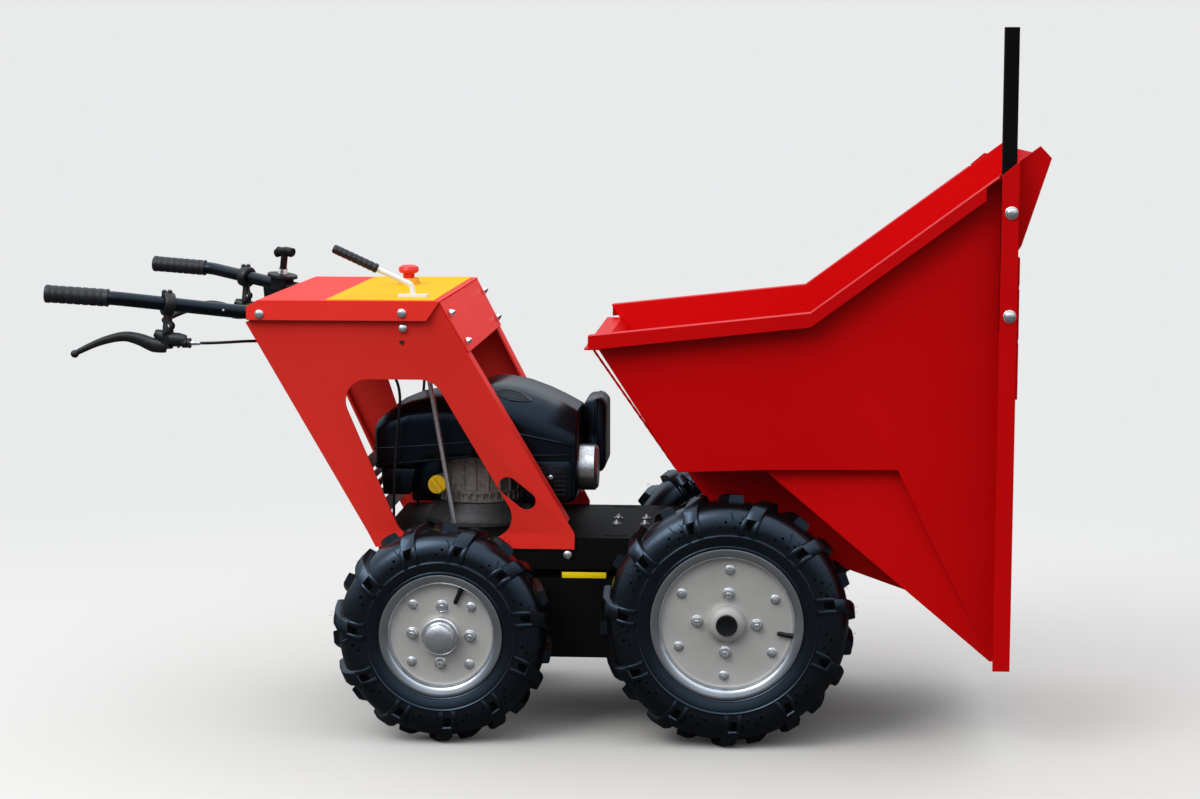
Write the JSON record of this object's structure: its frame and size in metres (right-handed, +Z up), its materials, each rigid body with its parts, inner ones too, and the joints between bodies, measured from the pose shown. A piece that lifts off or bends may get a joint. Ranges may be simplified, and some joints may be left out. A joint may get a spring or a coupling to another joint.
{
  "type": "site dumper",
  "caption": "Walk-behind four-wheel site dumper with a forward-tipping sheet-steel tub, engine under a console frame and two long handlebars.",
  "frame": {"origin": "on the ground, below the middle of the whole length and width", "axes": "+X to the front, where the tub pours; +Y to the machine's left; +Z up"},
  "size_m": [1.7708, 0.8018, 1.2958],
  "materials": {
    "tyre_rubber": "matt moulded rubber",
    "wheel_steel": "satin silver paint",
    "black_paint": "satin black powder coat",
    "black_rubber": "matt",
    "zinc_steel": "zinc plated",
    "red_paint": "gloss red powder coat",
    "yellow_sheet": "printed sheet, blank",
    "yellow_plastic": "moulded, gloss",
    "black_plastic": "fine grain",
    "red_plastic": "gloss",
    "cast_alloy": "die cast",
    "bright_steel": "plated"
  },
  "bodies": {
    "chassis": {"air_cleaner": "black_plastic", "belly_pan": "black_paint", "brake_cable_left": "black_rubber", "brake_cable_right": "black_rubber", "brake_lever_left": "black_paint", "brake_lever_right": "black_paint", "chassis_rails": "black_paint", "console_cover": "red_paint", "console_front_panel": "red_paint", "console_rear_guard": "red_paint", "console_side_left": "red_paint", "console_side_right": "red_paint", "deck_plate": "black_paint", "engine_block": "cast_alloy", "engine_cowl": "black_plastic", "front_axle": "black_paint", "fuel_tank": "black_plastic", "gear_grip": "black_rubber", "gear_lever": "bright_steel", "gear_rod": "bright_steel", "grip_left": "black_rubber", "grip_right": "black_rubber", "handlebar_left": "black_paint", "handlebar_right": "black_paint", "instruction_sheet": "yellow_sheet", "oil_cap": "yellow_plastic", "pivot_arms": "black_paint", "rear_axle": "black_paint", "starter_cap": "bright_steel", "stop_base": "yellow_plastic", "stop_button": "red_plastic", "throttle_control": "black_plastic", "tub_rest": "black_rubber"},
    "tub": {"tub_apron": "red_paint", "tub_chute": "red_paint", "tub_front_plate": "red_paint", "tub_handle": "black_paint", "tub_keel": "red_paint", "tub_lip": "red_paint", "tub_pivot_pin": "zinc_steel", "tub_rear_panel": "red_paint", "tub_rims": "red_paint", "tub_side_left": "red_paint", "tub_side_right": "red_paint"},
    "wheel_front_left": {"tyre_front_left": "tyre_rubber", "wheel_front_left": "wheel_steel"},
    "wheel_front_right": {"tyre_front_right": "tyre_rubber", "wheel_front_right": "wheel_steel"},
    "wheel_rear_left": {"tyre_rear_left": "tyre_rubber", "wheel_rear_left": "wheel_steel"},
    "wheel_rear_right": {"tyre_rear_right": "tyre_rubber", "wheel_rear_right": "wheel_steel"}
  },
  "joints": [
    {"name": "tub_hinge", "type": "hinge", "parent": "chassis", "child": "tub", "pos_m": [0.6034, 0, 0.342], "axis": [0, 1, 0], "range_deg": [0, 60]},
    {"name": "wheel_front_left_spin", "type": "hinge", "parent": "chassis", "child": "wheel_front_left", "pos_m": [0.3254, 0.2625, 0.232], "axis": [0, 1, 0], "continuous": true},
    {"name": "wheel_front_right_spin", "type": "hinge", "parent": "chassis", "child": "wheel_front_right", "pos_m": [0.3254, -0.2625, 0.232], "axis": [0, 1, 0], "continuous": true},
    {"name": "wheel_rear_left_spin", "type": "hinge", "parent": "chassis", "child": "wheel_rear_left", "pos_m": [-0.1946, 0.2625, 0.203], "axis": [0, 1, 0], "continuous": true},
    {"name": "wheel_rear_right_spin", "type": "hinge", "parent": "chassis", "child": "wheel_rear_right", "pos_m": [-0.1946, -0.2625, 0.203], "axis": [0, 1, 0], "continuous": true}
  ]
}
